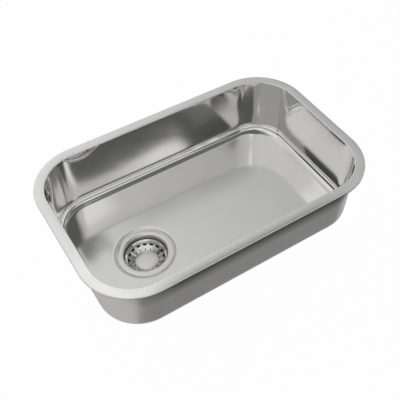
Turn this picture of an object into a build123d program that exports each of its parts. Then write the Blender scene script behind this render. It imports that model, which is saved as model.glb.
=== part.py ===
from build123d import *
import os
from math import atan2, cos, degrees, pi, sin, tan

# Undermount kitchen sink with a lift-out basket strainer. Millimetres.
# The origin is the centre of the rim's top plane, which meets the underside of the worktop.
# +X runs along the long side, away from the drain, +Y to the back and +Z up.

# Rim flange and bowl, pressed from one sheet
sheet = 1.0                  # steel sheet of the bowl
rim_length = 600.0
rim_width = 390.0
rim_corner = 106.0           # outer corner radius of the rim
flange_width = 20.0          # flat rim around the opening, to the bowl's wall
flange_bend = 5.0            # rounding from the flange into the wall
lip_drop = 4.0               # turned-down outer edge
lip_bend = 2.5
bowl_depth = 135.0           # rim to floor, inside
wall_lean = 4.0              # how far each wall leans in on its way down
floor_bend = 18.0            # rounding from the wall into the floor

# Drain recess pressed into the floor
drain_x = -147.0
drain_y = -17.0
recess_depth = 3.0
recess_gap = 0.8             # strainer flange edge to the foot of the recess's sloping side
recess_spread = 4.0          # the side slopes outwards by this much on its way up
recess_bend = 5.0            # rounding at the top of the side
recess_foot = 1.5            # rounding at its foot
hole_gap = 0.5               # strainer cup to the edge of the drain hole

# Strainer body, a flanged cup with an outlet neck
body_sheet = 1.2
body_flange_radius = 57.0
body_edge_bend = 1.6         # rounding into the flange's turned-down edge
body_bend = 4.0
cup_radius = 43.3            # inside, above the ledge
ledge_depth = 13.6           # flange top to the ledge that the basket's rim hangs over
lower_radius = 39.6          # inside, just below the ledge
cup_depth = 37.0             # flange top to the valve seat
cup_foot_radius = 37.0       # inside, at the foot of the lower wall
neck_radius = 23.9           # outside of the 1 1/2 inch outlet thread
neck_length = 29.4           # valve seat to the end of the neck
neck_bend = 2.0
seal_thickness = 1.2         # ring between the flange and the recess
seal_edge_gap = 0.5          # flange seal inside the flange's turned-down edge and outside its bend

# Clamping parts under the bowl
washer_thickness = 3.0
fibre_thickness = 1.0
clamp_radius = 57.0          # outside of the washers and of the retaining cup's flange
clamp_inner = 46.0           # inside of the washers
retainer_sheet = 1.5
retainer_gap = 2.2           # strainer cup to the retaining cup
thread_gap = 0.02            # play of a nut on its thread
locknut_flats = 58.0
locknut_height = 9.0
locknut_collar = 2.0         # round pressing face of the locknut

# Tailpiece and its coupling
tail_radius = 19.05          # outside of the 1 1/2 inch slip tube
tail_wall = 1.2
tail_length = 85.0
tail_flange = 1.5
tail_relief = 0.3            # the tube is this much slimmer where it passes through the nut
tail_relief_below = 1.0      # and for this far below the nut
tail_washer = 2.0
coupling_radius = 28.0
coupling_lip = 3.0
coupling_rise = 12.5         # length of neck that the coupling nut covers
grip_count = 12
grip_radius = 2.0

# Cross that is fixed in the neck and guides the basket's post
cross_ring_wall = 2.0
cross_height = 4.0
cross_drop = 6.0             # valve seat to the top of the cross
arm_width = 2.4
arm_count = 4
hub_radius = 8.0
hub_above = 2.1              # hub above the arms
hub_height = 12.0

# Basket
basket_sheet = 0.8
basket_lift_gap = 0.3        # rests this far above its ledge and the valve seat
basket_bead = 1.0            # radius of the rolled rim
basket_rim_radius = 41.0     # to the centre of the bead
basket_mouth_radius = 37.2
basket_mouth_drop = 2.0      # the rim slopes in by this much to the top of the wall
basket_wall_foot = 36.0
basket_wall_drop = 7.6       # basket rim to the foot of the wall
basket_cone_radius = 23.2    # inner end of the sloping floor
basket_cone_drop = 14.7
basket_well_radius = 22.0    # pan that holds the cap
basket_well_drop = 17.3
slot_count = 16
slot_length = 8.4
slot_width = 4.4
slot_radius = 35.0
hole_count = 16
hole_radius = 1.5
hole_ring_radius = 26.0

# Cap, post and stopper
cap_radius = 21.2
cap_sheet = 0.8
cap_height = 2.2
cap_step = 0.4               # raised centre of the cap
cap_step_radius = 17.0
post_radius = 3.0
post_head_radius = 6.0
plate_radius = 20.0
plate_thickness = 1.2
stopper_radius = 30.0
stopper_core_radius = 13.0
stopper_core_height = 4.0
stopper_skirt = 1.8          # thickness of the rubber skirt
nut_flats = 10.0
nut_height = 3.7
sleeve_radius = 5.0
sleeve_gap = 0.08            # sleeve in the hub, and post in the sleeve
sleeve_collar_radius = 7.5
sleeve_collar = 1.5
sleeve_length = 15.3
tip_radius = 4.3
tip_height = 1.5
end_play = 0.2               # sleeve between the nut and the post's tip

# Sound-deadening pads under the floor
pad_thickness = 2.2
pad_width = 200.0            # front to back
pad_corner = 12.0
pad_clear = 12.0             # drain recess to the first pad, and pad to pad
pad_lengths = {"sound_pad_middle": 110.0, "sound_pad_right": 190.0}

# Heights worked out from the sizes above
opening_length = rim_length - 2 * flange_width
opening_width = rim_width - 2 * flange_width
opening_corner = rim_corner - flange_width
recess_radius = body_flange_radius + recess_gap
recess_slope = atan2(recess_depth, recess_spread)
hole_edge_radius = cup_radius + body_sheet + hole_gap
seat_top = -bowl_depth - recess_depth
seat_underside = seat_top - sheet
body_top = seat_top + seal_thickness + body_sheet
ledge_top = body_top - ledge_depth
valve_seat = body_top - cup_depth
neck_inner = neck_radius - body_sheet
neck_end = valve_seat - neck_length
washer_low = seat_underside - washer_thickness
fibre_low = washer_low - fibre_thickness
retainer_floor = valve_seat - body_sheet - retainer_gap
locknut_top = retainer_floor - retainer_sheet
tail_washer_low = neck_end - tail_washer
tail_top = tail_washer_low - tail_flange
tail_end = tail_top - tail_length
cross_top = valve_seat - cross_drop
hub_top = cross_top + hub_above
hub_bore = sleeve_radius + sleeve_gap
basket_rim = ledge_top + basket_lift_gap + basket_bead + basket_sheet / 2
well_top = basket_rim - basket_well_drop
well_low = well_top - basket_sheet
cap_top = well_top + cap_height
plate_low = well_low - plate_thickness
core_low = plate_low - stopper_core_height
nut_low = core_low - nut_height
collar_low = hub_top + basket_lift_gap
sleeve_top = collar_low + sleeve_collar
sleeve_low = sleeve_top - sleeve_length
tip_top = sleeve_low - end_play
tip_low = tip_top - tip_height

drain_axis = Axis((drain_x, drain_y, 0), (0, 0, 1))
# Section plane through the drain's axis: x is the radius and y is the height.
drain_section = Plane(origin=(drain_x, drain_y, 0), x_dir=(1, 0, 0), z_dir=(0, -1, 0))


def drain_plane(height):
    """Level plane centred on the drain at the given height."""
    return Plane(origin=(drain_x, drain_y, height))


def save(part, name):
    """Label the finished piece and write it under its own name."""
    part.label = name
    export_step(part, f"parts/{name}.step")


def drawn_form(grow):
    """The bowl's inside, from the rim plane down, grown outwards by a wall thickness."""
    with BuildPart() as form:
        with BuildSketch(Plane.XY):
            RectangleRounded(opening_length + 2 * grow, opening_width + 2 * grow, opening_corner + grow)
        with BuildSketch(Plane.XY.offset(-bowl_depth - grow)):
            RectangleRounded(
                opening_length - 2 * wall_lean + 2 * grow,
                opening_width - 2 * wall_lean + 2 * grow,
                opening_corner - wall_lean + grow,
            )
        loft(ruled=True)
        fillet(form.faces().sort_by(Axis.Z)[0].edges(), floor_bend + grow)
        with BuildSketch(drain_plane(-bowl_depth - grow)):
            Circle(recess_radius + recess_spread + grow * tan(recess_slope / 2))
        extrude(amount=-recess_depth, taper=90 - degrees(recess_slope))
        foot = form.edges().filter_by(GeomType.CIRCLE).group_by(Axis.Z)[0]
        fillet(foot, recess_foot + grow)
        shoulder = form.edges().filter_by(GeomType.CIRCLE).filter_by_position(
            Axis.Z, -bowl_depth - grow - 0.01, -bowl_depth - grow + 0.01
        )
        fillet(shoulder, recess_bend - grow)
    return form.part


def flat_ring(outer, inner, low, height):
    """A plain ring around the drain's axis, standing on the given height."""
    with BuildPart() as ring:
        with BuildSketch(drain_plane(low)):
            Circle(outer)
            Circle(inner, mode=Mode.SUBTRACT)
        extrude(amount=height)
    return ring.part


def spun_sheet(points, bends, thickness, side):
    """A sheet of even thickness spun around the drain's axis, along points with rounded bends."""
    with BuildPart() as spun:
        with BuildSketch(drain_section):
            with BuildLine():
                FilletPolyline(*points, radius=bends)
                offset(amount=thickness, side=side)
            make_face()
        revolve(axis=drain_axis)
    return spun.part


os.makedirs("parts", exist_ok=True)

# Sink bowl: rim with a turned-down edge, then the drawn bowl through it.
outside = drawn_form(sheet)
inside = drawn_form(0)
with BuildPart() as sink_bowl:
    with BuildSketch(Plane.XY.offset(-lip_drop)):
        RectangleRounded(rim_length, rim_width, rim_corner)
    extrude(amount=lip_drop)
    fillet(sink_bowl.faces().sort_by(Axis.Z)[-1].edges(), lip_bend)
    with BuildSketch(Plane.XY.offset(-lip_drop)):
        RectangleRounded(rim_length - 2 * sheet, rim_width - 2 * sheet, rim_corner - sheet)
    extrude(amount=lip_drop - sheet, mode=Mode.SUBTRACT)
    under_rim = sink_bowl.faces().filter_by(Plane.XY).filter_by_position(Axis.Z, -sheet - 0.01, -sheet + 0.01)
    fillet(under_rim.edges(), lip_bend - sheet)
    add(outside)
    root_edges = (
        sink_bowl.faces()
        .filter_by(Plane.XY)
        .filter_by_position(Axis.Z, -sheet - 0.01, -sheet + 0.01)
        .sort_by(Axis.Z)[0]
        .inner_wires()
        .edges()
    )
    fillet(root_edges, flange_bend - sheet)
    add(inside, mode=Mode.SUBTRACT)
    mouth = sink_bowl.faces().sort_by(Axis.Z)[-1].inner_wires().edges()
    fillet(mouth, flange_bend)
    with BuildSketch(drain_plane(seat_underside)):
        Circle(hole_edge_radius)
    extrude(amount=2 * sheet, mode=Mode.SUBTRACT)
save(sink_bowl.part, "sink_bowl")

# Sound pads, side by side under the floor, to the right of the drain.
pad_start = drain_x + recess_radius + recess_spread + sheet + pad_clear
for pad_name, pad_length in pad_lengths.items():
    with BuildPart() as sound_pad:
        with BuildSketch(Plane((pad_start + pad_length / 2, 0, -bowl_depth - sheet))):
            RectangleRounded(pad_length, pad_width, pad_corner)
        extrude(amount=-pad_thickness)
        chamfer(sound_pad.faces().sort_by(Axis.Z)[0].edges(), pad_thickness / 3)
    save(sound_pad.part, pad_name)
    pad_start += pad_length + pad_clear

# Strainer body: flange with a turned-down edge, ledge for the basket, valve seat and outlet neck.
strainer_body = spun_sheet(
    [
        (body_flange_radius, seat_top),
        (body_flange_radius, body_top),
        (cup_radius, body_top),
        (cup_radius, ledge_top),
        (lower_radius, ledge_top),
        (cup_foot_radius, valve_seat),
        (neck_inner, valve_seat),
        (neck_inner, neck_end),
    ],
    [body_edge_bend, body_bend, body_sheet, 1.25 * body_sheet, body_bend, neck_bend],
    body_sheet,
    Side.LEFT,
)
save(strainer_body, "strainer_body")

# Rings of the clamped stack, from the flange down.
seal_inner = cup_radius + body_bend + seal_edge_gap
seal_outer = body_flange_radius - body_sheet - seal_edge_gap
save(flat_ring(seal_outer, seal_inner, seat_top, seal_thickness), "flange_seal")
save(flat_ring(clamp_radius, clamp_inner, washer_low, washer_thickness), "underside_washer")
save(flat_ring(clamp_radius, clamp_inner, fibre_low, fibre_thickness), "friction_ring")

# Retaining cup: pulls up on the stack from the outlet neck.
retaining_cup = spun_sheet(
    [
        (clamp_radius, fibre_low),
        (clamp_inner, fibre_low),
        (cup_foot_radius + body_sheet + retainer_gap, retainer_floor),
        (neck_radius + thread_gap, retainer_floor),
    ],
    [body_bend - 1, body_bend],
    retainer_sheet,
    Side.LEFT,
)
save(retaining_cup, "retaining_cup")

with BuildPart() as locknut:
    with BuildSketch(drain_plane(locknut_top)):
        Circle(locknut_flats / 2 + 2)
    extrude(amount=-locknut_collar)
    with BuildSketch(drain_plane(locknut_top - locknut_collar)):
        RegularPolygon(locknut_flats / 2, 6, major_radius=False)
    extrude(amount=locknut_collar - locknut_height)
    fillet(locknut.edges().filter_by(Axis.Z).group_by(SortBy.LENGTH)[-1], 2.0)
    with BuildSketch(drain_plane(locknut_top)):
        Circle(neck_radius + thread_gap)
    extrude(amount=-locknut_height, mode=Mode.SUBTRACT)
save(locknut.part, "locknut")

# Cross in the neck, with the hub that guides the post.
with BuildPart() as outlet_cross:
    with BuildSketch(drain_plane(cross_top)):
        Circle(neck_inner)
        Circle(neck_inner - cross_ring_wall, mode=Mode.SUBTRACT)
        with PolarLocations(neck_inner / 2, arm_count):
            Rectangle(neck_inner - cross_ring_wall / 2, arm_width)
    extrude(amount=-cross_height)
    with BuildSketch(drain_plane(hub_top)):
        Circle(hub_radius)
    extrude(amount=-hub_height)
    with BuildSketch(drain_plane(hub_top)):
        Circle(hub_bore)
    extrude(amount=-hub_height, mode=Mode.SUBTRACT)
save(outlet_cross.part, "outlet_cross")

# Tailpiece with its washer and coupling nut.
coupling_low = tail_top - coupling_lip
coupling_top = neck_end + coupling_rise
tail_shoulder = coupling_low - tail_relief_below
save(flat_ring(neck_radius - 0.2, tail_radius + 0.2, tail_washer_low, tail_washer), "tailpiece_washer")

with BuildPart() as tailpiece:
    with BuildSketch(drain_section):
        with BuildLine():
            Polyline(
                (tail_radius - tail_wall, tail_end),
                (tail_radius, tail_end),
                (tail_radius, tail_shoulder),
                (tail_radius - tail_relief, tail_shoulder + tail_relief),
                (tail_radius - tail_relief, tail_top),
                (neck_radius - 0.4, tail_top),
                (neck_radius - 0.4, tail_top + tail_flange),
                (tail_radius - tail_wall, tail_top + tail_flange),
                close=True,
            )
        make_face()
    revolve(axis=drain_axis)
    fillet(tailpiece.edges().group_by(Axis.Z)[0], tail_wall / 3)
save(tailpiece.part, "tailpiece")

with BuildPart() as coupling_nut:
    with BuildSketch(drain_plane(coupling_low)):
        Circle(coupling_radius)
        with PolarLocations(coupling_radius, grip_count):
            Circle(grip_radius)
    extrude(amount=coupling_top - coupling_low)
    chamfer(coupling_nut.faces().sort_by(Axis.Z)[-1].edges(), 0.6)
    with BuildSketch(drain_plane(tail_top)):
        Circle(neck_radius + thread_gap)
    extrude(amount=coupling_top - tail_top, mode=Mode.SUBTRACT)
    with BuildSketch(drain_plane(coupling_low)):
        Circle(tail_radius + 0.3)
    extrude(amount=coupling_lip, mode=Mode.SUBTRACT)
save(coupling_nut.part, "coupling_nut")

# Basket: rolled rim, steep wall, sloping floor with two rings of openings, and a pan for the cap.
cone_rise = basket_cone_drop - basket_wall_drop
cone_run = basket_wall_foot - basket_cone_radius
cone_angle = atan2(cone_rise, cone_run)
slot_angle = (cone_angle + pi / 2) / 2
slot_height = basket_rim - basket_wall_drop - 0.4
hole_height = basket_rim - basket_cone_drop + (hole_ring_radius - basket_cone_radius) * cone_rise / cone_run


def facing_planes(count, radius, height, tilt):
    """Planes in a ring around the drain, each facing outwards and down by the tilt."""
    planes = []
    for step in range(count):
        turn = 2 * pi * step / count
        centre = (drain_x + radius * cos(turn), drain_y + radius * sin(turn), height)
        facing = (sin(tilt) * cos(turn), sin(tilt) * sin(turn), -cos(tilt))
        planes.append(Plane(origin=centre, x_dir=(-sin(turn), cos(turn), 0), z_dir=facing))
    return planes


with BuildPart() as basket_cup:
    with BuildSketch(drain_section):
        with BuildLine():
            FilletPolyline(
                (basket_rim_radius, basket_rim),
                (basket_mouth_radius, basket_rim - basket_mouth_drop),
                (basket_wall_foot, basket_rim - basket_wall_drop),
                (basket_cone_radius, basket_rim - basket_cone_drop),
                (basket_well_radius, well_top),
                (post_radius + thread_gap, well_top),
                radius=[2.0, 3.5, 1.0, 0.8],
            )
            offset(amount=basket_sheet, side=Side.LEFT)
        make_face()
        with Locations((basket_rim_radius, basket_rim - basket_sheet / 2)):
            Circle(basket_bead)
    revolve(axis=drain_axis)
    with BuildSketch(*facing_planes(slot_count, slot_radius, slot_height, slot_angle)):
        SlotOverall(slot_length, slot_width)
    extrude(amount=3.5, both=True, mode=Mode.SUBTRACT)
    with BuildSketch(*facing_planes(hole_count, hole_ring_radius, hole_height, cone_angle)):
        Circle(hole_radius)
    extrude(amount=2.0, both=True, mode=Mode.SUBTRACT)
save(basket_cup.part, "basket_cup")

# Cap over the head of the post, in the middle of the basket.
cap_disc = spun_sheet(
    [
        (0, cap_top),
        (cap_step_radius, cap_top),
        (cap_step_radius + 2 * cap_step, cap_top - cap_step),
        (cap_radius, cap_top - cap_step),
        (cap_radius, well_top),
    ],
    [1.5, 1.5, 1.0],
    cap_sheet,
    Side.RIGHT,
)
save(cap_disc, "cap_disc")

with BuildPart() as basket_post:
    with BuildSketch(drain_plane(cap_top - cap_sheet)):
        Circle(post_head_radius)
    extrude(amount=-(cap_top - cap_sheet - well_top))
    with BuildSketch(drain_plane(well_top)):
        Circle(post_radius)
    extrude(amount=-(well_top - tip_top))
    with BuildSketch(drain_plane(tip_top)):
        Circle(tip_radius)
    extrude(amount=-tip_height)
    fillet(basket_post.edges().group_by(Axis.Z)[0], 1.0)
save(basket_post.part, "basket_post")

save(flat_ring(plate_radius, post_radius + thread_gap, plate_low, plate_thickness), "stopper_plate")

# Rubber stopper: a core round the post and a skirt that meets the valve seat.
skirt_low = valve_seat + basket_lift_gap
with BuildPart() as stopper_seal:
    with BuildSketch(drain_section):
        with BuildLine():
            Polyline(
                (post_radius + thread_gap, plate_low),
                (plate_radius, plate_low),
                (stopper_radius, skirt_low + stopper_skirt),
                (stopper_radius, skirt_low),
                (stopper_radius - 1.5 * stopper_skirt, skirt_low),
                (plate_radius - stopper_skirt, plate_low - stopper_skirt),
                (stopper_core_radius, plate_low - stopper_skirt),
                (stopper_core_radius, core_low),
                (post_radius + thread_gap, core_low),
                close=True,
            )
        make_face()
    revolve(axis=drain_axis)
save(stopper_seal.part, "stopper_seal")

with BuildPart() as post_nut:
    with BuildSketch(drain_plane(core_low)):
        RegularPolygon(nut_flats / 2, 6, major_radius=False)
        Circle(post_radius + thread_gap, mode=Mode.SUBTRACT)
    extrude(amount=-nut_height)
save(post_nut.part, "post_nut")

# Nylon sleeve: grips the hub by friction, and the post turns in it.
with BuildPart() as post_sleeve:
    with BuildSketch(drain_plane(sleeve_top)):
        Circle(sleeve_collar_radius)
    extrude(amount=-sleeve_collar)
    with BuildSketch(drain_plane(collar_low)):
        Circle(sleeve_radius)
    extrude(amount=-(collar_low - sleeve_low))
    chamfer(post_sleeve.edges().group_by(Axis.Z)[0], 0.8)
    with BuildSketch(drain_plane(sleeve_top)):
        Circle(post_radius + sleeve_gap)
    extrude(amount=-sleeve_length, mode=Mode.SUBTRACT)
save(post_sleeve.part, "post_sleeve")
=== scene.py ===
from math import atan2, cos, hypot, pi, radians, sin, sqrt, tan

import bmesh
import bpy
from mathutils import Matrix, Vector, noise


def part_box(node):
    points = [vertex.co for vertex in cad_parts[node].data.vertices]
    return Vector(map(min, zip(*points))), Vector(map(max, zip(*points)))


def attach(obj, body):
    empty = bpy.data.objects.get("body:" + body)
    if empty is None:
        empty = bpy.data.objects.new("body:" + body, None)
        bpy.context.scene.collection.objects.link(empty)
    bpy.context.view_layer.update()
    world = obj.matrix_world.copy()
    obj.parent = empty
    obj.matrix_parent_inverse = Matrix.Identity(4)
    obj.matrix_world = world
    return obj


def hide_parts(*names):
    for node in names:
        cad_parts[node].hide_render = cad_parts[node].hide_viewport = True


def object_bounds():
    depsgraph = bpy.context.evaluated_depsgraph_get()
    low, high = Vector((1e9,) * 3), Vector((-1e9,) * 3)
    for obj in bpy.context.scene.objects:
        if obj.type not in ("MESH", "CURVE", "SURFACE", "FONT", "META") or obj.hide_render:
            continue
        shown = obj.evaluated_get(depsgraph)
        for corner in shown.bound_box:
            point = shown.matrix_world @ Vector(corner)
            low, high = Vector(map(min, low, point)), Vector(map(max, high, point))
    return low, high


# Undermount kitchen sink with a lift-out basket strainer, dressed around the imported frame.
# Lengths are in metres in the frame's axes: X right, Y back, Z up, with the rim's top at height 0.

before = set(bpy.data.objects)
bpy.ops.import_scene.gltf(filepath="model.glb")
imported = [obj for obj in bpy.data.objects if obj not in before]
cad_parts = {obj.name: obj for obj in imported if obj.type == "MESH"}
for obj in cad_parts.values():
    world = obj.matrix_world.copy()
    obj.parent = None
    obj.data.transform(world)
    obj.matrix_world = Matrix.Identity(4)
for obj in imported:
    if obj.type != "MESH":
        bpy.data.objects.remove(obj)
cad_low, cad_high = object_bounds()

mm = 0.001

# Places read from the frame
rim_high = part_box("sink_bowl")[1]
flange_low, flange_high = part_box("strainer_body")
basket_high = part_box("basket_cup")[1]
drain_x = (flange_low.x + flange_high.x) / 2
drain_y = (flange_low.y + flange_high.y) / 2

# Bowl
sheet = 1.0 * mm
rim_corner = 106 * mm
flange_width = 20 * mm
flange_bend = 1.8 * mm
lip_drop = 4 * mm
lip_bend = 1.2 * mm
bowl_depth = 135 * mm
wall_lean = 4 * mm
floor_bend = 18 * mm
recess_depth = 3 * mm
recess_radius = 57.8 * mm        # at the foot of its sloping side
recess_spread = 4.0 * mm         # the side slopes outwards by this much on its way up
recess_bend = 5.0 * mm
recess_foot = 1.5 * mm           # bend at the foot of that side
hole_radius = 45 * mm
floor_fall = 1.2 * mm            # the floor rises by this much from the recess to the foot of the walls
floor_edge = -bowl_depth + floor_fall
wave_height = 0.07 * mm          # slight waves left in the drawn walls
wave_length = 70 * mm
ripple_share = 0.4               # a finer ripple on the waves, this much as high
ripple_pace = 2.3                # and this much as close
foot_rise = 56 * mm              # the right wall leans in from this height over the floor
foot_reach = 4.8 * mm            # and has moved in by this much at its foot
foot_start, foot_full = 0.625, 0.875       # shares of the half length where the lean starts and is full
rim_brushing = 1 * mm            # the brushing of the rim ends this far down the bend
floor_rows = 24                  # rows of faces from the foot of the walls to the recess
corner_steps = 28                # columns of faces in a corner, a long side and a short side
long_steps = 28
wide_steps = 16
wall_row = 8 * mm                # height of the rows of faces in the walls

# Strainer body
body_sheet = 1.2 * mm
body_top = flange_high.z
body_flange_radius = (flange_high.x - flange_low.x) / 2
body_edge_bend = 1.6 * mm
body_bend = 4 * mm
cup_radius = 43.3 * mm
ledge_top = body_top - 13.6 * mm
lower_radius = 39.6 * mm
valve_seat = body_top - 37 * mm
cup_foot_radius = 37 * mm
neck_radius = 23.9 * mm
neck_end = flange_low.z
neck_bend = 2 * mm
thread_pitch = 2.2 * mm
thread_depth = 0.7 * mm
fine_steps = 192                 # segments round the strainer's spun sheets
small_steps = 96                 # and round its post and the nut on it

# Clamping parts, tailpiece and nuts
washer_round = 0.35 * mm
seal_inner = 47.8 * mm
clamp_inner = 46 * mm
retainer_sheet = 1.5 * mm
retainer_foot_radius = 40.4 * mm
thread_gap = 0.02 * mm
locknut_flats = 58 * mm
locknut_collar = 2 * mm          # height of the round collar over the flats
collar_width = 2 * mm            # and how far it stands out past them
locknut_chamfer = 2 * mm
tail_radius = 19.05 * mm
tail_wall = 1.2 * mm
tail_flange = 1.5 * mm
tail_relief = 0.3 * mm
tail_clearance = 0.3 * mm
coupling_radius = 28 * mm
coupling_lip = 3 * mm
coupling_chamfer = 0.8 * mm
coupling_skin = 0.7 * mm         # the grip's ribs move the wall to this depth
grip_count = 12
grip_radius = 2 * mm
edge_round = 0.6 * mm
tail_washer_inner = 19.25 * mm

# Basket
basket_sheet = 0.8 * mm
bead_radius = 1.0 * mm
bead_centre = 41.0 * mm
basket_rim = basket_high.z - bead_radius + basket_sheet / 2
mouth_radius = 37.2 * mm
mouth_drop = 2.0 * mm            # the rim slopes in by this much to the top of the wall
wall_foot_radius = 36.0 * mm
wall_drop = 7.6 * mm
cone_radius = 23.2 * mm
cone_drop = 14.7 * mm
well_radius = 22.0 * mm
well_drop = 17.3 * mm
opening_count = 16
slot_length = 8.4 * mm
slot_width = 4.4 * mm
slot_drop = 8.0 * mm             # basket rim to the middle of the slots
slot_above, slot_below = 3.4 * mm, 3.8 * mm        # reach of the band of faces with the slots
hole_width = 3.0 * mm
hole_ring_radius = 26.0 * mm
hole_above, hole_below = 2.3 * mm, 2.2 * mm        # reach of the band of faces with the holes
rim_rows, opening_rows, bridge_rows, pan_rows = 34, 10, 4, 26      # rows of faces in the basket's bands
cell_columns = 12                # columns of faces in one sector of the basket
block_columns = 6                # columns and rows of faces that an opening takes out
block_rows = 4

# Cap, post and stopper
cap_sheet = 0.8 * mm
cap_step = 0.4 * mm
cap_step_radius = 17.0 * mm
cap_crown = 0.3 * mm             # fall of the cap from its middle to the step
post_radius = 3.0 * mm
post_head_radius = 6.0 * mm
tip_height = 1.5 * mm
tip_radius = 4.3 * mm
stopper_core_radius = 13.0 * mm
stopper_skirt = 1.8 * mm
plate_radius = 20.0 * mm
nut_flats = 10.0 * mm

# Sound pads
pad_corner = 12 * mm
pad_pitch = 10 * mm              # embossed squares
pad_groove = 1.2 * mm
pad_emboss = 0.5 * mm

# Camera, fitted to the rim, the bowl's outline and the strainer in the photograph
camera_azimuth = -32.95          # degrees
camera_elevation = 48.59
camera_distance = 1196.8 * mm
camera_target = Vector((7.22, -70.29, 0)) * mm
camera_lens = 57.706             # in millimetres, on a sensor of this width
camera_sensor = 36
camera_shift = (-0.0633, -0.0195)


# Lines and outlines, in (radius, height) pairs

def rounded(points, bends, steps=8):
    """A line through the points, its inner corners rounded with the given bends."""
    line = [Vector(points[0])]
    for before, corner, after, bend in zip(points, points[1:], points[2:], bends):
        corner = Vector(corner)
        back = (Vector(before) - corner).normalized()
        ahead = (Vector(after) - corner).normalized()
        half = back.angle(ahead) / 2
        centre = corner + (back + ahead).normalized() * bend / sin(half)
        first = corner + back * bend / tan(half) - centre
        last = corner + ahead * bend / tan(half) - centre
        sweep = first.angle(last)
        for step in range(steps + 1):
            share = step / steps
            spoke = (first * sin((1 - share) * sweep) + last * sin(share * sweep)) / sin(sweep)
            line.append(centre + spoke)
    line.append(Vector(points[-1]))
    return line


def rounded_outline(points, bend, steps=3):
    """A closed outline with every corner rounded alike."""
    looped = [points[-1]] + list(points) + [points[0]]
    return rounded(looped, [bend] * len(points), steps)[1:-1]


def spread(line, longest):
    """The same line with its long stretches divided into parts about as long as asked."""
    finer = [line[0]]
    for start, end in zip(line, line[1:]):
        parts = max(1, round((end - start).length / longest))
        finer += [start.lerp(end, part / parts) for part in range(1, parts + 1)]
    return finer


def backed(line, thickness_at):
    """A closed outline: the line, and back along it at the sheet's thickness on its left side."""
    back = []
    for before, point, after in zip([line[0]] + line, line, line[1:] + [line[-1]]):
        ahead = (after - before).normalized()
        back.append(point + Vector((-ahead.y, ahead.x)) * thickness_at(point))
    return line + back[::-1]


def line_length(line):
    return sum((end - start).length for start, end in zip(line, line[1:]))


def at_travel(line, travel):
    """The place on a line at a distance along it."""
    for start, end in zip(line, line[1:]):
        length = (end - start).length
        if travel <= length:
            return start.lerp(end, travel / length)
        travel -= length
    return line[-1]


def travel_to(line, reached):
    """Distance along a line to its first point that meets a condition."""
    finer = spread(line, 0.1 * mm)
    for count, point in enumerate(finer):
        if reached(point):
            return line_length(finer[: count + 1])


# Meshes

def chain(bm, places, closed=False):
    """Vertices at the places, joined in order by edges."""
    corners = [bm.verts.new(place) for place in places]
    edges = [bm.edges.new(pair) for pair in zip(corners, corners[1:])]
    if closed:
        edges.append(bm.edges.new((corners[-1], corners[0])))
    return corners + edges


def spin_outline(outline, steps=fine_steps):
    """Spins a closed outline into a solid round the drain's axis."""
    bm = bmesh.new()
    profile = chain(bm, [(drain_x + radius, drain_y, height) for radius, height in outline], closed=True)
    bmesh.ops.spin(
        bm, geom=profile, cent=(drain_x, drain_y, 0), axis=(0, 0, 1),
        angle=2 * pi, steps=steps, use_merge=True,
    )
    bmesh.ops.remove_doubles(bm, verts=bm.verts, dist=0.001 * mm)
    bmesh.ops.recalc_face_normals(bm, faces=bm.faces)
    return bm


def face_upwards(bm):
    """Turns an open skin so that its upper side is its outside."""
    bm.normal_update()
    if sum(face.normal.z * face.calc_area() for face in bm.faces) < 0:
        bmesh.ops.reverse_faces(bm, faces=bm.faces)


def reach_of(place):
    """Distance of a place from the drain's axis."""
    return hypot(place.x - drain_x, place.y - drain_y)


def spoke_of(place):
    """Angle round the drain's axis and distance from it."""
    return atan2(place.y - drain_y, place.x - drain_x), reach_of(place)


def on_spoke(turn, reach, height):
    return Vector((drain_x + reach * cos(turn), drain_y + reach * sin(turn), height))


def cut_flats(bm, flats, outside, top):
    """Presses the outer wall of a spun nut in to six flats, up to the given height."""
    for vert in bm.verts:
        turn, reach = spoke_of(vert.co)
        if reach > outside and vert.co.z < top:
            off_middle = (turn + pi / 6) % (pi / 3) - pi / 6
            vert.co = on_spoke(turn, min(reach, flats / 2 / cos(off_middle)), vert.co.z)


def finished(name, bm, body, node, finishes, sharp=35):
    """Makes the piece, which stands for one CAD node and rides on its body."""
    mesh = bpy.data.meshes.new(name)
    bm.to_mesh(mesh)
    bm.free()
    for finish in finishes:
        mesh.materials.append(finish)
    mesh.shade_smooth()
    mesh.set_sharp_from_angle(angle=radians(sharp))
    piece = bpy.data.objects.new(name, mesh)
    bpy.context.scene.collection.objects.link(piece)
    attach(piece, body)
    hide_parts(node)
    return piece


def thicken(piece, thickness, back_slots=0):
    """Gives a skin the thickness of its sheet, away from its upper side."""
    wall = piece.modifiers.new("sheet", "SOLIDIFY")
    wall.thickness = thickness
    wall.offset = -1
    wall.use_even_offset = True
    wall.material_offset = back_slots


def soften(piece, width):
    """Rounds the sharp edges a little."""
    edge = piece.modifiers.new("edge", "BEVEL")
    edge.width = width
    edge.segments = 2
    edge.limit_method = "ANGLE"
    edge.angle_limit = radians(40)
    edge.harden_normals = True


# Bowl

def eased(value, start, end):
    """Rises from 0 at the start to 1 at the end, and is level at both."""
    share = min(1, max(0, (value - start) / (end - start)))
    return share * share * (3 - 2 * share)


def draw_in(bm, ring, drawn, height):
    """Extrudes a ring of edges towards the drain's axis and gives back the new ring."""
    made = bmesh.ops.extrude_edge_only(bm, edges=ring)["geom"]
    fresh = {item for item in made if isinstance(item, bmesh.types.BMVert)}
    for vert in fresh:
        turn, reach = spoke_of(vert.co)
        vert.co = on_spoke(turn, drawn(reach), height)
    return [item for item in made if isinstance(item, bmesh.types.BMEdge) and fresh.issuperset(item.verts)]


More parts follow.
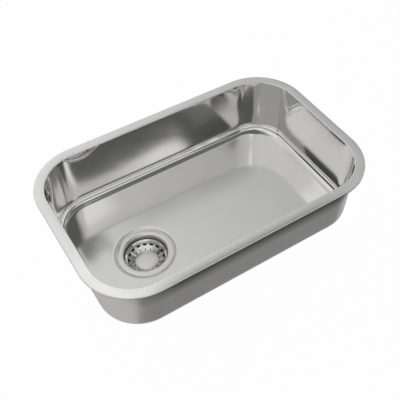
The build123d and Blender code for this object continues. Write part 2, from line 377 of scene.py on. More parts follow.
def sweep_walls(bm):
    """Sweeps the section of lip, flange, wall and floor bend round the four sides."""
    section = rounded(
        [
            (-wall_lean - 3 * floor_bend, floor_edge),
            (-wall_lean, floor_edge),
            (0, 0),
            (flange_width, 0),
            (flange_width, -lip_drop),
        ],
        [floor_bend, flange_bend, lip_bend],
        steps=12,
    )[1:]
    half_long = rim_high.x - rim_corner
    half_wide = rim_high.y - rim_corner
    opening_x = rim_high.x - flange_width
    swept = chain(bm, [(opening_x + out, -half_wide, height) for out, height in spread(section, wall_row)])
    centre = Vector((half_long, -half_wide, 0))
    runs = [
        (Vector((0, 2 * half_wide, 0)), wide_steps),
        (Vector((-2 * half_long, 0, 0)), long_steps),
        (Vector((0, -2 * half_wide, 0)), wide_steps),
        (Vector((2 * half_long, 0, 0)), long_steps),
    ]
    for run, steps in runs:
        straight = bmesh.ops.spin(
            bm, geom=swept, cent=centre, axis=(0, 0, 1), dvec=run / steps, angle=0, steps=steps
        )
        centre += run
        corner = bmesh.ops.spin(
            bm, geom=straight["geom_last"], cent=centre, axis=(0, 0, 1), angle=pi / 2, steps=corner_steps
        )
        swept = corner["geom_last"]
    bmesh.ops.remove_doubles(bm, verts=bm.verts, dist=0.01 * mm)


def draw_floor(bm):
    """Draws the floor in from the foot of the walls to the recess and the drain hole."""
    ring = [
        edge for edge in bm.edges
        if edge.is_boundary and all(vert.co.z < floor_edge + 1 * mm for vert in edge.verts)
    ]
    recess_line = rounded(
        [
            (recess_radius + recess_spread + 2 * recess_bend, -bowl_depth),
            (recess_radius + recess_spread, -bowl_depth),
            (recess_radius, -bowl_depth - recess_depth),
            (hole_radius, -bowl_depth - recess_depth),
        ],
        [recess_bend, recess_foot],
    )[1:]
    brink = recess_line[0].x
    for left in range(floor_rows - 1, 0, -1):
        height = -bowl_depth + floor_fall * eased(left, 0, floor_rows)
        ring = draw_in(bm, ring, lambda reach: brink + (reach - brink) * left / (left + 1), height)
    for radius, height in recess_line:
        ring = draw_in(bm, ring, lambda reach: radius, height)


def wave_walls(bm):
    """Leaves slight waves in the drawn walls and floor, none at the flange or the recess."""
    for vert in bm.verts:
        below_rim = eased(-vert.co.z / bowl_depth, 0.05, 0.3)
        off_drain = eased((reach_of(vert.co) - recess_radius) / wave_length, 0.1, 1.1)
        ripple = ripple_share * noise.noise(vert.co * ripple_pace / wave_length)
        wave = noise.noise(vert.co / wave_length) + ripple
        vert.co += vert.normal * wave * wave_height * below_rim * off_drain


def ease_right_wall(bm):
    """Lets the foot of the right wall lean in a little before the floor bend."""
    for vert in bm.verts:
        foot = max(0, 1 - (vert.co.z + bowl_depth) / foot_rise)
        near_wall = eased(vert.co.x / rim_high.x, foot_start, foot_full)
        vert.co.x -= foot_reach * foot ** 2 * near_wall


def make_bowl(inside, rim, seat, outside):
    """The pressed bowl with its flange and lip, in one sheet with four finishes."""
    rim_slot, seat_slot, outside_slot = 1, 2, 3
    bm = bmesh.new()
    sweep_walls(bm)
    draw_floor(bm)
    ease_right_wall(bm)
    face_upwards(bm)
    bm.normal_update()
    wave_walls(bm)
    for face in bm.faces:
        middle = face.calc_center_median()
        if middle.z > -rim_brushing:
            face.material_index = rim_slot
        elif middle.z > -lip_drop and middle.xy.dot(face.normal.xy) > 0:
            face.material_index = outside_slot
        elif middle.z < -bowl_depth - 0.1 * mm and reach_of(middle) < recess_radius + recess_spread:
            face.material_index = seat_slot
    finishes = [inside, rim, seat] + 4 * [outside]
    piece = finished("bowl_shell", bm, "sink", "sink_bowl", finishes)
    thicken(piece, sheet, back_slots=outside_slot)


def make_pad(node, finish):
    """A sound pad with embossed squares on its underside."""
    low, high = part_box(node)
    size = high - low
    bm = bmesh.new()
    columns, rows = round(size.x / pad_pitch), round(size.y / pad_pitch)
    bmesh.ops.create_grid(bm, x_segments=columns, y_segments=rows, size=0.5)
    for vert in bm.verts:
        vert.co = Vector((vert.co.x * size.x, vert.co.y * size.y, 0))
    half_x, half_y = size.x / 2 - pad_corner, size.y / 2 - pad_corner
    for vert in bm.verts:
        away = Vector((max(0, abs(vert.co.x) - half_x), max(0, abs(vert.co.y) - half_y)))
        if away.length > pad_corner:
            away *= pad_corner / away.length
            vert.co.x = (half_x + away.x) * (1 if vert.co.x > 0 else -1)
            vert.co.y = (half_y + away.y) * (1 if vert.co.y > 0 else -1)
    bmesh.ops.reverse_faces(bm, faces=bm.faces)
    squares = bm.faces[:]
    bmesh.ops.inset_individual(bm, faces=squares, thickness=pad_groove / 2, depth=0, use_even_offset=True)
    bmesh.ops.inset_individual(bm, faces=squares, thickness=pad_groove / 4, depth=pad_emboss)
    rim = [edge for edge in bm.edges if edge.is_boundary]
    base = bmesh.ops.extrude_edge_only(bm, edges=rim)["geom"]
    fresh = [item for item in base if isinstance(item, bmesh.types.BMVert)]
    bmesh.ops.translate(bm, verts=fresh, vec=(0, 0, size.z - pad_emboss))
    bmesh.ops.holes_fill(bm, edges=[edge for edge in bm.edges if edge.is_boundary])
    bmesh.ops.recalc_face_normals(bm, faces=bm.faces)
    centre = (low + high) / 2
    bmesh.ops.translate(bm, verts=bm.verts, vec=(centre.x, centre.y, low.z + pad_emboss))
    piece = finished(node + "_sheet", bm, "sink", node, [finish], sharp=30)
    soften(piece, 0.15 * mm)


# Strainer, clamping parts and tailpiece

def make_strainer(finish, edge, inside):
    """The strainer's flanged cup with its outlet neck, threaded outside."""
    neck_inner = neck_radius - body_sheet
    line = rounded(
        [
            (body_flange_radius, -bowl_depth - recess_depth),
            (body_flange_radius, body_top),
            (cup_radius, body_top),
            (cup_radius, ledge_top),
            (lower_radius, ledge_top),
            (cup_foot_radius, valve_seat),
            (neck_inner, valve_seat),
            (neck_inner, neck_end),
        ],
        [body_edge_bend, body_bend, body_sheet, 1.25 * body_sheet, body_bend, neck_bend],
    )
    thread_top = line[-2].y - thread_pitch
    turns = int((thread_top - neck_end) / thread_pitch)
    thread = []
    for turn in range(2 * turns):
        thread.append(Vector((neck_inner, thread_top - turn * thread_pitch / 2)))
    line = line[:-1] + thread + line[-1:]

    def thickness_at(point):
        if point not in thread:
            return body_sheet
        return body_sheet - thread_depth * (thread.index(point) % 2)

    bm = spin_outline(backed(line, thickness_at))
    edge_slot, painted_shade_slot = 1, 2
    for face in bm.faces:
        middle = face.calc_center_median()
        if reach_of(middle) > body_flange_radius - body_edge_bend:
            face.material_index = edge_slot
        # below the flange's bend the cup and neck take the darker finish, whose tint is painted shade
        elif middle.z < body_top - body_bend:
            face.material_index = painted_shade_slot
    piece = finished("strainer_shell", bm, "sink", "strainer_body", [finish, edge, inside])
    soften(piece, 0.15 * mm)


def make_retainer(finish):
    """The retaining cup under the bowl."""
    low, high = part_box("retaining_cup")
    floor_top = low.z + retainer_sheet
    line = rounded(
        [
            ((high.x - low.x) / 2, high.z),
            (clamp_inner, high.z),
            (retainer_foot_radius, floor_top),
            (neck_radius + thread_gap, floor_top),
        ],
        [body_bend - 1 * mm, body_bend],
    )
    bm = spin_outline(backed(line, lambda point: retainer_sheet))
    piece = finished("retainer_shell", bm, "sink", "retaining_cup", [finish])
    soften(piece, 0.25 * mm)


def make_ring(node, inner, body, finish):
    """A flat ring with rounded edges in place of a node."""
    low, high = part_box(node)
    outer = (high.x - low.x) / 2
    corners = [(inner, low.z), (outer, low.z), (outer, high.z), (inner, high.z)]
    bm = spin_outline(rounded_outline(corners, washer_round))
    finished(node + "_ring", bm, body, node, [finish], sharp=50)


def make_locknut(finish):
    low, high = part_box("locknut")
    bore = neck_radius + thread_gap
    across_corners = locknut_flats / 2 / cos(pi / 6)
    collar = locknut_flats / 2 + collar_width
    collar_low = high.z - locknut_collar
    outline = rounded(
        [
            (bore, (low.z + high.z) / 2),
            (bore, low.z),
            (across_corners - locknut_chamfer, low.z),
            (across_corners, low.z + edge_round),
            (across_corners, collar_low),
            (collar + edge_round, collar_low + 0.1 * mm),
            (collar, high.z),
            (bore, high.z),
            (bore, (low.z + high.z) / 2),
        ],
        [edge_round, 0.3 * mm, 0.3 * mm, 0.1 * mm, 0.05 * mm, 0.4 * mm, edge_round],
        steps=3,
    )[:-1]
    bm = spin_outline(outline)
    cut_flats(bm, locknut_flats, locknut_flats / 2 - 1 * mm, collar_low + 0.05 * mm)
    piece = finished("locknut_body", bm, "sink", "locknut", [finish])
    soften(piece, 0.2 * mm)


def make_coupling(finish):
    """The coupling nut, with ribs to grip it by."""
    low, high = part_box("coupling_nut")
    shoulder = low.z + coupling_lip
    bore = neck_radius + thread_gap
    lip_bore = tail_radius + tail_clearance
    outline = rounded_outline(
        [
            (lip_bore, low.z),
            (coupling_radius - coupling_chamfer, low.z),
            (coupling_radius, low.z + coupling_chamfer),
            (coupling_radius, high.z - coupling_chamfer),
            (coupling_radius - coupling_chamfer, high.z),
            (bore, high.z),
            (bore, shoulder),
            (lip_bore, shoulder),
        ],
        0.25 * mm,
    )
    bm = spin_outline(outline, steps=grip_count * 16)
    for vert in bm.verts:
        turn, reach = spoke_of(vert.co)
        inset = coupling_radius - reach
        if inset < coupling_skin:
            off_middle = (turn + pi / grip_count) % (2 * pi / grip_count) - pi / grip_count
            aside = coupling_radius * sin(off_middle)
            if abs(aside) < grip_radius:
                swell = sqrt(grip_radius ** 2 - aside ** 2)
                vert.co = on_spoke(turn, coupling_radius * cos(off_middle) + swell - inset, vert.co.z)
    finished("coupling_body", bm, "sink", "coupling_nut", [finish])


def make_tailpiece(finish):
    """The slip tube, with its flange at the top and a rolled lower end."""
    low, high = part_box("tailpiece")
    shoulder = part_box("coupling_nut")[0].z - 1 * mm
    inner = tail_radius - tail_wall
    slim = tail_radius - tail_relief
    outline = rounded(
        [
            (inner, (low.z + high.z) / 2),
            (inner, low.z),
            (tail_radius, low.z),
            (tail_radius, shoulder),
            (slim, shoulder + tail_relief),
            (slim, high.z - tail_flange),
            ((high.x - low.x) / 2, high.z - tail_flange),
            ((high.x - low.x) / 2, high.z),
            (inner, high.z),
            (inner, (low.z + high.z) / 2),
        ],
        [0.4 * mm, 0.4 * mm, 0.1 * mm, 0.1 * mm, 0.5 * mm, 0.4 * mm, 0.4 * mm, 0.5 * mm],
        steps=4,
    )[:-1]
    finished("tail_tube", spin_outline(outline), "sink", "tailpiece", [finish], sharp=50)


# Basket

def slot_point(share, half_straight, radius):
    """The place at a share of the way round a slot's outline, from its right end."""
    quarter = pi * radius / 2
    travel = (share % 1) * 4 * (half_straight + quarter)
    side, rest = divmod(travel + quarter, 2 * (half_straight + quarter))
    sign = 1 if side % 2 == 0 else -1
    if rest < 2 * quarter:
        turn = rest / radius - pi / 2
        return Vector((half_straight + radius * cos(turn), radius * sin(turn))) * sign
    return Vector((half_straight - (rest - 2 * quarter), radius)) * sign


def add_cell(bm, line, low, high, rows, opening=None):
    """One sector of the basket's sheet between two distances along its section, which may have an opening."""
    cell = bmesh.ops.create_grid(bm, x_segments=cell_columns, y_segments=rows, size=0.5)["verts"]
    height = high - low
    width = 2 * pi * at_travel(line, (low + high) / 2).x / opening_count
    for vert in cell:
        vert.co = Vector((vert.co.x * width, vert.co.y * height, 0))
    if opening:
        cell = open_cell(bm, cell, width / cell_columns, height / rows, opening)
    for vert in cell:
        turn = vert.co.x / width * 2 * pi / opening_count
        reach, rise = at_travel(line, (low + high) / 2 - vert.co.y)
        vert.co = on_spoke(turn, reach, rise)


def open_cell(bm, cell, column, row, opening):
    """Takes a block of faces out of a cell and draws the hole's edge to a slot or a circle."""
    half_x, half_y = block_columns / 2 * column, block_rows / 2 * row
    inside = [
        face for face in {face for vert in cell for face in vert.link_faces}
        if abs(face.calc_center_median().x) < half_x and abs(face.calc_center_median().y) < half_y
    ]
    bmesh.ops.delete(bm, geom=inside, context="FACES")
    cell = [vert for vert in cell if vert.is_valid]
    brim = [
        vert for vert in cell
        if abs(vert.co.x) < half_x + column / 2 and abs(vert.co.y) < half_y + row / 2
    ]
    brim.sort(key=lambda vert: atan2(vert.co.y / half_y, vert.co.x / half_x) % (2 * pi))
    length, width = opening
    for count, vert in enumerate(brim):
        vert.co = slot_point(count / len(brim), (length - width) / 2, width / 2).to_3d()
    free = [vert for vert in cell if vert not in brim and not vert.is_boundary]
    for _ in range(12):
        bmesh.ops.smooth_vert(bm, verts=free, factor=0.5, use_axis_x=True, use_axis_y=True)
    return cell


def make_basket(finish):
    """The pressed basket: rolled rim, slots round its wall, drilled sloping floor and a pan for the cap."""
    rim_top = basket_high.z
    bead_low = rim_top - 2 * bead_radius
    line = rounded(
        [
            (bead_centre - 0.5 * mm, bead_low),
            (bead_centre + bead_radius, bead_low),
            (bead_centre + bead_radius, rim_top),
            (bead_centre - 0.4 * bead_radius, rim_top),
            (mouth_radius, basket_rim - mouth_drop),
            (wall_foot_radius, basket_rim - wall_drop),
            (cone_radius, basket_rim - cone_drop),
            (well_radius, basket_rim - well_drop),
            (post_radius + thread_gap, basket_rim - well_drop),
        ],
        [0.95 * mm, 0.95 * mm, 0.5 * mm, 1.6 * mm, 3.5 * mm, 1.0 * mm, 0.8 * mm],
    )
    slots = travel_to(line, lambda point: point.y < basket_rim - slot_drop)
    holes = travel_to(line, lambda point: point.x < hole_ring_radius)
    bands = [
        (0, slots - slot_above, rim_rows, None),
        (slots - slot_above, slots + slot_below, opening_rows, (slot_length, slot_width)),
        (slots + slot_below, holes - hole_above, bridge_rows, None),
        (holes - hole_above, holes + hole_below, opening_rows, (hole_width, hole_width)),
        (holes + hole_below, line_length(line), pan_rows, None),
    ]
    bm = bmesh.new()
    for low, high, rows, opening in bands:
        add_cell(bm, line, low, high, rows, opening)
    bmesh.ops.remove_doubles(bm, verts=bm.verts, dist=0.01 * mm)
    sector = bm.verts[:] + bm.edges[:] + bm.faces[:]
    for copy in range(1, opening_count):
        made = bmesh.ops.duplicate(bm, geom=sector)["geom"]
        moved = [item for item in made if isinstance(item, bmesh.types.BMVert)]
        turn = Matrix.Rotation(2 * pi * copy / opening_count, 3, "Z")
        bmesh.ops.rotate(bm, verts=moved, cent=(drain_x, drain_y, 0), matrix=turn)
    bmesh.ops.remove_doubles(bm, verts=bm.verts, dist=0.01 * mm)
    face_upwards(bm)
    piece = finished("basket_shell", bm, "basket", "basket_cup", [finish])
    thicken(piece, basket_sheet)
    soften(piece, 0.12 * mm)


def make_cap(finish):
    """The cap over the post's head: a low crown, a step and a rounded edge."""
    low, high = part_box("cap_disc")
    outer = (high.x - low.x) / 2
    top = high.z
    line = rounded(
        [
            (0, top),
            (cap_step_radius / 2, top - cap_crown / 4),
            (cap_step_radius, top - cap_crown),
            (cap_step_radius + 0.6 * mm, top - cap_crown - cap_step),
            (outer, top - cap_crown - cap_step - 0.1 * mm),
            (outer, low.z),
        ],
        [40 * mm, 0.6 * mm, 0.6 * mm, 1.0 * mm],
    )
    outline = backed(spread(line, 2 * mm)[::-1], lambda point: cap_sheet)
    for point in outline:
        point.x = max(0, point.x)
    finished("cap_shell", spin_outline(outline), "basket", "cap_disc", [finish], sharp=50)


def make_post(finish):
    """The post under the cap, with its head, shank and tip."""
    low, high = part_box("basket_post")
    head_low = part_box("cap_disc")[0].z
    tip_top = low.z + tip_height
    outline = [Vector((0, high.z))] + rounded(
        [
            (0, high.z),
            (post_head_radius, high.z),
            (post_head_radius, head_low),
            (post_radius, head_low),
            (post_radius, tip_top),
            (tip_radius, tip_top),
            (tip_radius, low.z),
            (0, low.z),
        ],
        [0.4 * mm, 0.2 * mm, 0.2 * mm, 0.3 * mm, 0.3 * mm, 0.9 * mm],
        steps=4,
    )[1:]
    bm = spin_outline(outline, steps=small_steps)
    finished("post_shank", bm, "basket", "basket_post", [finish], sharp=50)


def make_stopper(finish):
    """The rubber stopper: a core round the post and a flared skirt."""
    low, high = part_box("stopper_seal")
    core_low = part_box("post_nut")[1].z
    outer = (high.x - low.x) / 2
    bore = post_radius + thread_gap
    outline = rounded_outline(
        [
            (bore, high.z),
            (bore, core_low),
            (stopper_core_radius, core_low),
            (stopper_core_radius, high.z - stopper_skirt),
            (plate_radius - stopper_skirt, high.z - stopper_skirt),
            (outer - 1.5 * stopper_skirt, low.z),
            (outer, low.z),
            (outer, low.z + stopper_skirt),
            (plate_radius, high.z),
        ],
        0.35 * mm,
    )
    bm = spin_outline(outline)
    finished("stopper_skirt", bm, "basket", "stopper_seal", [finish], sharp=50)


def make_post_nut(finish):
    low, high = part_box("post_nut")
    bore = post_radius + thread_gap
    corner = nut_flats / 2 / cos(pi / 6)
    outline = rounded_outline(
        [
            (bore, low.z),
            (nut_flats / 2 - 0.2 * mm, low.z),
            (corner, low.z + 0.5 * mm),
            (corner, high.z - 0.5 * mm),
            (nut_flats / 2 - 0.2 * mm, high.z),
            (bore, high.z),
        ],
        0.1 * mm,
    )
    bm = spin_outline(outline, steps=small_steps)
    cut_flats(bm, nut_flats, nut_flats / 2 - 0.3 * mm, high.z + 1 * mm)
    finished("post_nut_body", bm, "basket", "post_nut", [finish])


# Shared effects, each a node group with one result

def new_effect(name, numbers, result):
    """An empty node group with number inputs and one result."""
    tree = bpy.data.node_groups.new(name, "ShaderNodeTree")
    for label, usual in numbers.items():
        tree.interface.new_socket(label, in_out="INPUT", socket_type="NodeSocketFloat").default_value = usual
    tree.interface.new_socket(result, in_out="OUTPUT", socket_type="NodeSocketFloat")
    given = tree.nodes.new("NodeGroupInput").outputs
    return tree, given, tree.nodes.new("NodeGroupOutput").inputs[result]


def place(tree, kind, inputs=None, **settings):
    """Adds a node with its settings and its inputs, each a value or another node's output."""
    node = tree.nodes.new("ShaderNode" + kind)
    for name, value in settings.items():
        setattr(node, name, value)
    for name, value in (inputs or {}).items():
        if isinstance(value, bpy.types.NodeSocket):
            tree.links.new(value, node.inputs[name])
        else:
            node.inputs[name].default_value = value
    return node.outputs


def object_place(tree):
    return place(tree, "TexCoord")["Object"]


def object_parts(tree):
    """The object coordinates X, Y and Z, each by itself."""
    return place(tree, "SeparateXYZ", {0: object_place(tree)})


def ramp(tree, value, start, end, low=0, high=1, kind="LINEAR"):
    """Goes from low at the start to high at the end, in either direction, and stays there."""
    inputs = {"Value": value, "From Min": start, "From Max": end, "To Min": low, "To Max": high}
    return place(tree, "MapRange", inputs, interpolation_type=kind)[0]


def drawn_grain():
    """Fine lines along X, left by rolling and polishing the sheet."""
    tree, given, result = new_effect("drawn_grain", {"Along": 40, "Across": 1600}, "Grain")
    stretch = place(tree, "CombineXYZ", {"X": given["Along"], "Y": given["Across"], "Z": given["Across"]})
    spot = place(tree, "VectorMath", {0: object_place(tree), 1: stretch[0]}, operation="MULTIPLY")
    lines = place(tree, "TexNoise", {"Vector": spot[0], "Scale": 1, "Detail": 3, "Roughness": 0.65})
    tree.links.new(lines[0], result)
    return tree


def lathe_grain():
    """Fine rings round the drain's axis, left by spinning the sheet."""
    tree, given, result = new_effect("lathe_grain", {"Rings": 1500}, "Grain")
    spot = place(tree, "VectorMath", {0: object_place(tree), 1: (drain_x, drain_y, 0)}, operation="SUBTRACT")
    parts = place(tree, "SeparateXYZ", {0: spot[0]})
    flat = place(tree, "CombineXYZ", {"X": parts["X"], "Y": parts["Y"]})
    reach = place(tree, "VectorMath", {0: flat[0]}, operation="LENGTH")["Value"]
    section = place(tree, "CombineXYZ", {"X": reach, "Y": parts["Z"]})
    scaled = place(tree, "VectorMath", {0: section[0], "Scale": given["Rings"]}, operation="SCALE")
    rings = place(tree, "TexNoise", {"Vector": scaled[0], "Scale": 1, "Detail": 2, "Roughness": 0.6})
    tree.links.new(rings[0], result)
    return tree


def wiped_film():
    """Faint clouds over everything, as a wiping cloth leaves them."""
    tree, given, result = new_effect("wiped_film", {"Clouds": 14}, "Film")
    bend = place(tree, "TexNoise", {"Vector": object_place(tree), "Scale": 5, "Detail": 1})
    bent = {0: bend["Color"], 1: (0.25, 0.25, 0.25), 2: object_place(tree)}
    spot = place(tree, "VectorMath", bent, operation="MULTIPLY_ADD")
    cloudy = {"Vector": spot[0], "Scale": given["Clouds"], "Detail": 4, "Roughness": 0.6}
    clouds = place(tree, "TexNoise", cloudy)
    tree.links.new(ramp(tree, clouds[0], 0.3, 0.7), result)
    return tree


def edge_rub():
    """Bright along convex edges, where handling rubs a finish."""
    tree, given, result = new_effect("edge_rub", {"Start": 0.51, "Reach": 0.06}, "Rub")
    bulge = place(tree, "NewGeometry")["Pointiness"]
    top = place(tree, "Math", {0: given["Reach"], 1: given["Start"]}, operation="ADD")
    tree.links.new(ramp(tree, bulge, given["Start"], top[0]), result)
    return tree


def pitted_skin():
    """The fine uneven skin of a casting or a moulding."""
    tree, given, result = new_effect("pitted_skin", {"Pits": 900}, "Height")
    grain = {"Vector": object_place(tree), "Scale": given["Pits"], "Detail": 4, "Roughness": 0.7}
    tree.links.new(place(tree, "TexNoise", grain)[0], result)
    return tree


def open_cells():
    """The open cells of foam rubber."""
    tree, given, result = new_effect("open_cells", {"Cells": 1300}, "Height")
    cells = place(tree, "TexVoronoi", {"Vector": object_place(tree), "Scale": given["Cells"]})
    tree.links.new(ramp(tree, cells["Distance"], 0, 0.6), result)
    return tree


effect_makers = (drawn_grain, lathe_grain, wiped_film, edge_rub, pitted_skin, open_cells)
effects = {make.__name__: make() for make in effect_makers}


def effect(tree, name, **numbers):
    """The result of a shared effect inside a material."""
    node = tree.nodes.new("ShaderNodeGroup")
    node.node_tree = effects[name]
    for label, value in numbers.items():
        node.inputs[label].default_value = value
    return node.outputs[0]


# Materials

mix_share, mix_first, mix_second, mix_colour = 0, 6, 7, 2     # sockets of a Mix node set to colours

# Heights and places where a finish changes on the bowl
satin_band = 0.2 * mm            # over the floor's edge the satin gets twice as rough within this height
polish_start, polish_end = floor_edge + 1.5 * mm, floor_edge + 4 * mm      # the walls' polish takes over
shade_low, shade_high = -68 * mm, -38 * mm         # the painted shade of the flange fades in between these,
shade_left, shade_right = -260 * mm, -150 * mm     # and from the left end to the front between these


def blend_colours(tree, share, first, second):
    inputs = {mix_share: share, mix_first: first, mix_second: second}
    return place(tree, "Mix", inputs, data_type="RGBA")[mix_colour]


def toned(tint, level):
    return (*(level * part for part in tint), 1)


def dress(name, tint, roughness, relief, depth, metallic=1, drift=0.15, shade=0.05, rubbed=None,
          satin_floor=None, painted_flange_shade=None, **numbers):
    """A finish with a fine relief, whose polish and tone drift a little from place to place.

    The edges may be rubbed to another tint, the floor left satin, and the steel under the flange darkened by
    a painted shade.
    """
    material = bpy.data.materials.new(name)
    material.use_nodes = True
    tree = material.node_tree
    shader = tree.nodes["Principled BSDF"].inputs
    shader["Metallic"].default_value = metallic
    film = effect(tree, "wiped_film")
    height = effect(tree, relief, **numbers)
    polish = ramp(tree, film, 0, 1, roughness * (1 - drift), roughness * (1 + drift))
    if satin_floor:
        level = object_parts(tree)["Z"]
        bend = ramp(tree, level, floor_edge, floor_edge + satin_band, satin_floor, 2 * satin_floor)
        polish = ramp(tree, level, polish_start, polish_end, bend, polish)
    tree.links.new(polish, shader["Roughness"])
    tone = blend_colours(tree, film, toned(tint, 1), toned(tint, 1 - shade))
    lines = blend_colours(tree, height, toned(tint, 1 - shade), toned(tint, 1))
    colour = blend_colours(tree, 0.5, tone, lines)
    if rubbed:
        colour = blend_colours(tree, effect(tree, "edge_rub"), colour, toned(rubbed, 1))
    # Painted shade of the flange: the outside's colour darkens towards this tone just under the flange, but
    # not at its left end
    if painted_flange_shade:
        spot = object_parts(tree)
        top = ramp(tree, spot["Z"], shade_low, shade_high)
        front = ramp(tree, spot["X"], shade_left, shade_right)
        share = place(tree, "Math", {0: top, 1: front}, operation="MULTIPLY")
        colour = blend_colours(tree, share[0], colour, toned(tint, painted_flange_shade))
    tree.links.new(colour, shader["Base Color"])
    bump = place(tree, "Bump", {"Height": height, "Strength": 1, "Distance": depth})
    tree.links.new(bump[0], shader["Normal"])
    return material


steel = (0.84, 0.835, 0.825)
pale_steel = (0.965, 0.96, 0.95)
cap_steel = (0.90, 0.895, 0.88)
warm_steel = (0.80, 0.79, 0.77)
cup_painted_shade_tint = (0.5, 0.495, 0.48)

bowl_inside = dress("polished_steel", steel, 0.06, "drawn_grain", 0.0004 * mm, drift=0.2, shade=0.04,
                    satin_floor=0.1)
bowl_rim = dress("brushed_rim_steel", pale_steel, 0.24, "drawn_grain", 0.004 * mm, shade=0.05)
# the outside's darker top is a painted shade of the flange
bowl_outside = dress("outer_steel", warm_steel, 0.3, "drawn_grain", 0.002 * mm, drift=0.3, shade=0.08,
                     painted_flange_shade=0.2)
strainer_finish = dress("spun_steel", steel, 0.12, "lathe_grain", 0.0015 * mm, shade=0.08)
edge_finish = dress("satin_edge", pale_steel, 0.5, "lathe_grain", 0.002 * mm, shade=0.05)
# the cup's darker tint is painted shade inside the cup, on a duller finish
cup_painted_shade_finish = dress("dulled_cup_painted_shade", cup_painted_shade_tint, 0.3, "lathe_grain", 0.003 * mm, shade=0.15)
retainer_finish = dress("pressed_steel", warm_steel, 0.28, "lathe_grain", 0.004 * mm, shade=0.12)
basket_finish = dress("basket_polish", steel, 0.13, "lathe_grain", 0.001 * mm, shade=0.06)
cap_finish = dress("satin_cap", cap_steel, 0.3, "lathe_grain", 0.012 * mm, shade=0.12, Rings=2200)
brass_finish = dress("plain_brass", (0.72, 0.60, 0.36), 0.25, "pitted_skin", 0.01 * mm,
                     rubbed=(0.85, 0.75, 0.52))
zinc_finish = dress("cast_zinc", (0.52, 0.52, 0.53), 0.38, "pitted_skin", 0.03 * mm, shade=0.15,
                    rubbed=(0.68, 0.68, 0.68))
chrome_finish = dress("bright_chrome", (0.80, 0.81, 0.82), 0.06, "lathe_grain", 0.0003 * mm, drift=0.4,
                      shade=0.03)
foam_finish = dress("foam_rubber", (0.26, 0.26, 0.27), 0.9, "open_cells", 0.12 * mm, metallic=0,
                    shade=0.35)
rubber_finish = dress("black_rubber", (0.035, 0.035, 0.036), 0.55, "pitted_skin", 0.03 * mm, metallic=0,
                      shade=0.3, rubbed=(0.09, 0.09, 0.09))
fibre_finish = dress("pressed_fibre", (0.48, 0.37, 0.25), 0.85, "pitted_skin", 0.06 * mm, metallic=0,
                     shade=0.35, rubbed=(0.60, 0.50, 0.38), Pits=1500)
nylon_finish = dress("white_nylon", (0.80, 0.79, 0.75), 0.42, "pitted_skin", 0.01 * mm, metallic=0,
                     shade=0.06)
pad_finish = dress("pad_rubber", (0.075, 0.075, 0.08), 0.75, "pitted_skin", 0.05 * mm, metallic=0,
                   shade=0.3, rubbed=(0.16, 0.16, 0.165), Pits=700)


# The object

make_bowl(bowl_inside, bowl_rim, edge_finish, bowl_outside)
make_pad("sound_pad_middle", pad_finish)
make_pad("sound_pad_right", pad_finish)
make_strainer(strainer_finish, edge_finish, cup_painted_shade_finish)
make_ring("flange_seal", seal_inner, "sink", foam_finish)
make_ring("underside_washer", clamp_inner, "sink", rubber_finish)
make_ring("friction_ring", clamp_inner, "sink", fibre_finish)
make_retainer(retainer_finish)
make_locknut(zinc_finish)
make_ring("tailpiece_washer", tail_washer_inner, "sink", nylon_finish)
make_tailpiece(chrome_finish)
make_coupling(zinc_finish)
make_basket(basket_finish)
make_cap(cap_finish)
make_post(basket_finish)
make_ring("stopper_plate", post_radius + thread_gap, "basket", basket_finish)
make_stopper(rubber_finish)
make_post_nut(brass_finish)
for node, finish in (("outlet_cross", strainer_finish), ("post_sleeve", nylon_finish)):
    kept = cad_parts[node]
    for slot in kept.material_slots:
        slot.material = finish


# Studio: a wide soft panel overhead and plain cards round it, seen in the steel but not by the camera

floor_height = cad_low.z
roof = 0.8                       # height of the panels over the rim
below = roof - 5 * mm            # the cards that cover parts of the panels hang here
above = roof + 5 * mm            # and the card that the panels partly cover hangs here
tent = 2.2                       # the cards reach this far out on every side
panel_left, panel_right = -0.68, 0.66
panel_front, front_end = -0.91, -1.28
gap_back = 0.14
fade_from, fade_to = -0.3, 0.85  # the panels' glow falls off between these


def pick_rays(tree, *kinds):
    """1 for rays of the given kinds, 0 for the rest."""
    rays = place(tree, "LightPath")
    picked = rays[kinds[0]]
    for kind in kinds[1:]:
        picked = place(tree, "Math", {0: picked, 1: rays[kind]}, operation="MAXIMUM")[0]
    return picked


def flat_sheet(name, corners, finish):
    """A plain four-cornered sheet that belongs to the studio."""
    bm = bmesh.new()
    bm.faces.new([bm.verts.new(corner) for corner in corners])
    mesh = bpy.data.meshes.new(name)
    bm.to_mesh(mesh)
    bm.free()
    mesh.materials.append(finish)
    stage_sheet = bpy.data.objects.new(name, mesh)
    bpy.context.scene.collection.objects.link(stage_sheet)
    return stage_sheet


def hang_card(name, left, right, front, back, glow, right_glow=None, soft=(0, 0, 0, 0), height=roof):
    """A level glowing card, whose glow may change to the right.

    It thins out within the soft widths of its left, right, front and back edges.
    """
    material = bpy.data.materials.new(name + "_glow")
    material.use_nodes = True
    tree = material.node_tree
    tree.nodes.clear()
    spot = object_parts(tree)
    tone = ramp(tree, spot["X"], fade_from, fade_to, glow, right_glow or glow)
    light = place(tree, "Emission", {"Strength": tone})[0]
    sides = (("X", left, 1), ("X", right, -1), ("Y", front, 1), ("Y", back, -1))
    for (axis, edge, inward), width in zip(sides, soft):
        if width:
            solid = ramp(tree, spot[axis], edge, edge + inward * width, kind="SMOOTHSTEP")
            clear = place(tree, "BsdfTransparent")
            light = place(tree, "MixShader", {0: solid, 1: clear[0], 2: light})[0]
    place(tree, "OutputMaterial", {"Surface": light})
    corners = [(left, front, height), (right, front, height), (right, back, height), (left, back, height)]
    card = flat_sheet(name, corners, material)
    card.visible_camera = False
    return card


# Each card's left, right, front and back edge, then its strength, at both ends where it changes

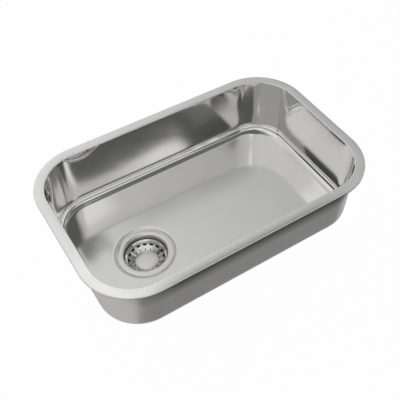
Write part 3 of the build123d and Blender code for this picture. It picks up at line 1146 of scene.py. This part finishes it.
hang_card("roof_panel", panel_left, panel_right, panel_front, tent, 0.78, 0.50)
hang_card("side_panel", panel_right, 1.05, gap_back, tent, 0.78, 0.50)
hang_card("side_patch", panel_right, 0.80, -0.30, gap_back, 0.75)
hang_card("dark_gap", -0.10, panel_right, -0.37, 0.28, 0.12, soft=(0.06, 0, 0.15, 0.05), height=below)
hang_card("back_seam", -0.05, 0.70, 0.69, 0.86, 0.35, soft=(0.3, 0.05, 0.12, 0.02), height=below)
hang_card("back_post", -0.09, 0.03, 0.69, 0.86, 0.17, soft=(0.01, 0.03, 0.03, 0), height=below - mm)
hang_card("dark_corner", 0.56, 0.90, panel_front, -0.57, 0.08, height=below)
hang_card("back_lamp", -0.27, 0.0, 0.12, 0.55, 0.96, soft=(0.06, 0.06, 0.05, 0.05), height=below)
hang_card("front_lamp", -0.06, 0.14, -0.58, -0.40, 1.0, soft=(0.04, 0.12, 0.04, 0), height=below)
hang_card("left_lamp", -0.64, -0.42, -0.64, -0.22, 1.0, soft=(0.06, 0.06, 0.06, 0.08), height=below)
hang_card("front_strip", 0.10, 0.55, panel_front, -0.76, 1.04, soft=(0.35, 0, 0, 0.04), height=below)
hang_card("left_corner", panel_left, -0.58, panel_front, -0.66, 0.38, soft=(0, 0.02, 0, 0.04), height=below)
hang_card("dark_back_left", -1.6, -0.69, 0.28, 1.5, 0.06, soft=(0, 0.04, 0.40, 0), height=below)
hang_card("left_card", -tent, panel_left, -tent, tent, 0.42)
hang_card("front_left_card", panel_left, -0.25, -tent, panel_front, 0.36)
hang_card("front_card", -0.25, panel_right, front_end, panel_front, 0.10)
hang_card("far_card", -0.25, tent, -tent, front_end, 0.62)
hang_card("right_card", panel_right, tent, front_end, tent, 0.2, height=above)
low_card = hang_card("low_card", -0.31, 0.8, -0.8, -0.21, 0.25, height=floor_height + 2 * mm)
low_card.visible_shadow = False
low_card.visible_diffuse = False

floor_finish = bpy.data.materials.new("pale_floor")
floor_finish.use_nodes = True
tree = floor_finish.node_tree
tree.nodes.clear()
paper = place(tree, "BsdfDiffuse", {"Color": (0.85, 0.85, 0.85, 1)})
white = place(tree, "Emission", {"Color": (1, 1, 1, 1), "Strength": 1})
seen = ramp(tree, pick_rays(tree, "Is Camera Ray"), 0, 1, high=0.98)
mirrored = ramp(tree, pick_rays(tree, "Is Glossy Ray", "Is Transmission Ray"), 0, 1, high=0.25)
share = place(tree, "Math", {0: seen, 1: mirrored}, operation="MAXIMUM")
both = place(tree, "MixShader", {0: share[0], 1: paper[0], 2: white[0]})
place(tree, "OutputMaterial", {"Surface": both[0]})
floor_end = 6
square = ((-1, -1), (1, -1), (1, 1), (-1, 1))
flat_sheet("floor", [(x * floor_end, y * floor_end, floor_height) for x, y in square], floor_finish)

world = bpy.data.worlds.new("studio")
world.use_nodes = True
bpy.context.scene.world = world
tree = world.node_tree
tree.nodes.clear()
air = place(tree, "Background", {"Color": (0.5, 0.5, 0.5, 1), "Strength": 1})
backdrop = place(tree, "Background", {"Color": (1, 1, 1, 1), "Strength": 1})
seen = pick_rays(tree, "Is Camera Ray", "Is Glossy Ray", "Is Transmission Ray")
both = place(tree, "MixShader", {0: seen, 1: air[0], 2: backdrop[0]})
place(tree, "OutputWorld", {"Surface": both[0]})

camera_data = bpy.data.cameras.new("camera")
camera = bpy.data.objects.new("camera", camera_data)
bpy.context.scene.collection.objects.link(camera)
bpy.context.scene.camera = camera
turn, rise = radians(camera_azimuth), radians(camera_elevation)
towards = Vector((sin(turn) * cos(rise), -cos(turn) * cos(rise), sin(rise)))
camera.location = camera_target + towards * camera_distance
camera.rotation_mode = "QUATERNION"
camera.rotation_quaternion = (-towards).to_track_quat("-Z", "Y")
camera_data.sensor_width = camera_sensor
camera_data.lens = camera_lens
camera_data.shift_x, camera_data.shift_y = camera_shift

bpy.context.scene.view_settings.view_transform = "Standard"
